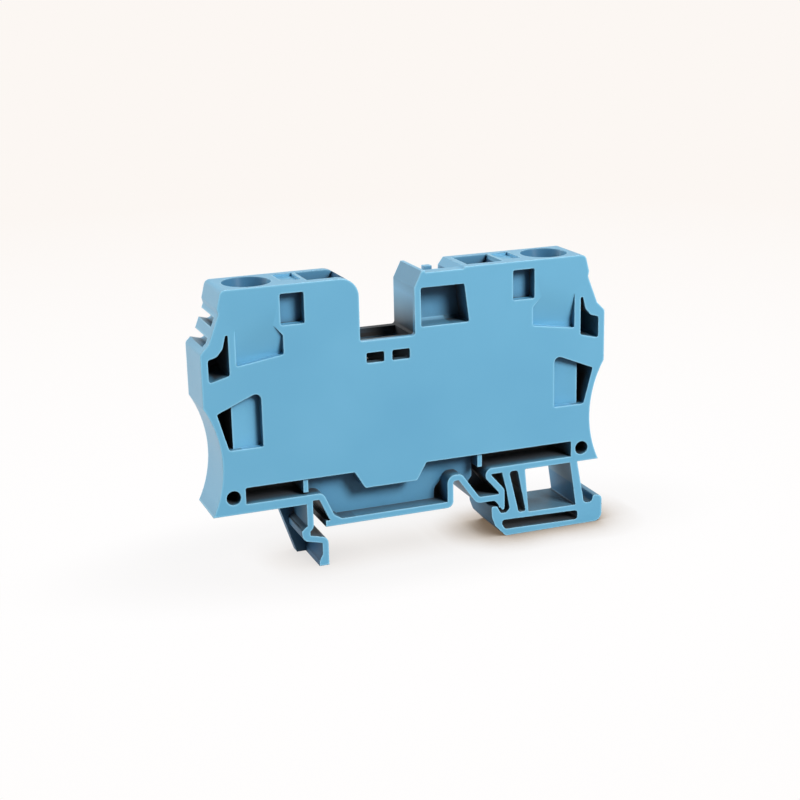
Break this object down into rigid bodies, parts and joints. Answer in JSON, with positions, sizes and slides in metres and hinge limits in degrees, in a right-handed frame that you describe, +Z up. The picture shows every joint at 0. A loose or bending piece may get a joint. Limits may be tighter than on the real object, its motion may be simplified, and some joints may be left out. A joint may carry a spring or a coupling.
{
  "type": "feed-through terminal block",
  "caption": "Slim moulded terminal block that snaps onto a top-hat rail: a spring clamp under each tower, joined by a current bar, with funnel wire entries, driver slots and jumper sockets.",
  "frame": {"origin": "centre of the bounding box's bottom face, on the surface that the foot and the latch tip stand on", "axes": "+X across the rail, from the flexible latch to the fixed foot; +Y along the rail, from the closed side to the open side; +Z up, from the rail to the wire entries"},
  "size_m": [0.0734, 0.01, 0.05],
  "materials": {
    "blue_polyamide": "satin moulded",
    "tinned_copper": "satin tin plate",
    "spring_steel": "rolled stainless strip"
  },
  "bodies": {
    "root": {"housing": "blue_polyamide", "current_bar": "tinned_copper", "clamp_spring_left": "spring_steel", "clamp_spring_right": "spring_steel"}
  },
  "joints": []
}
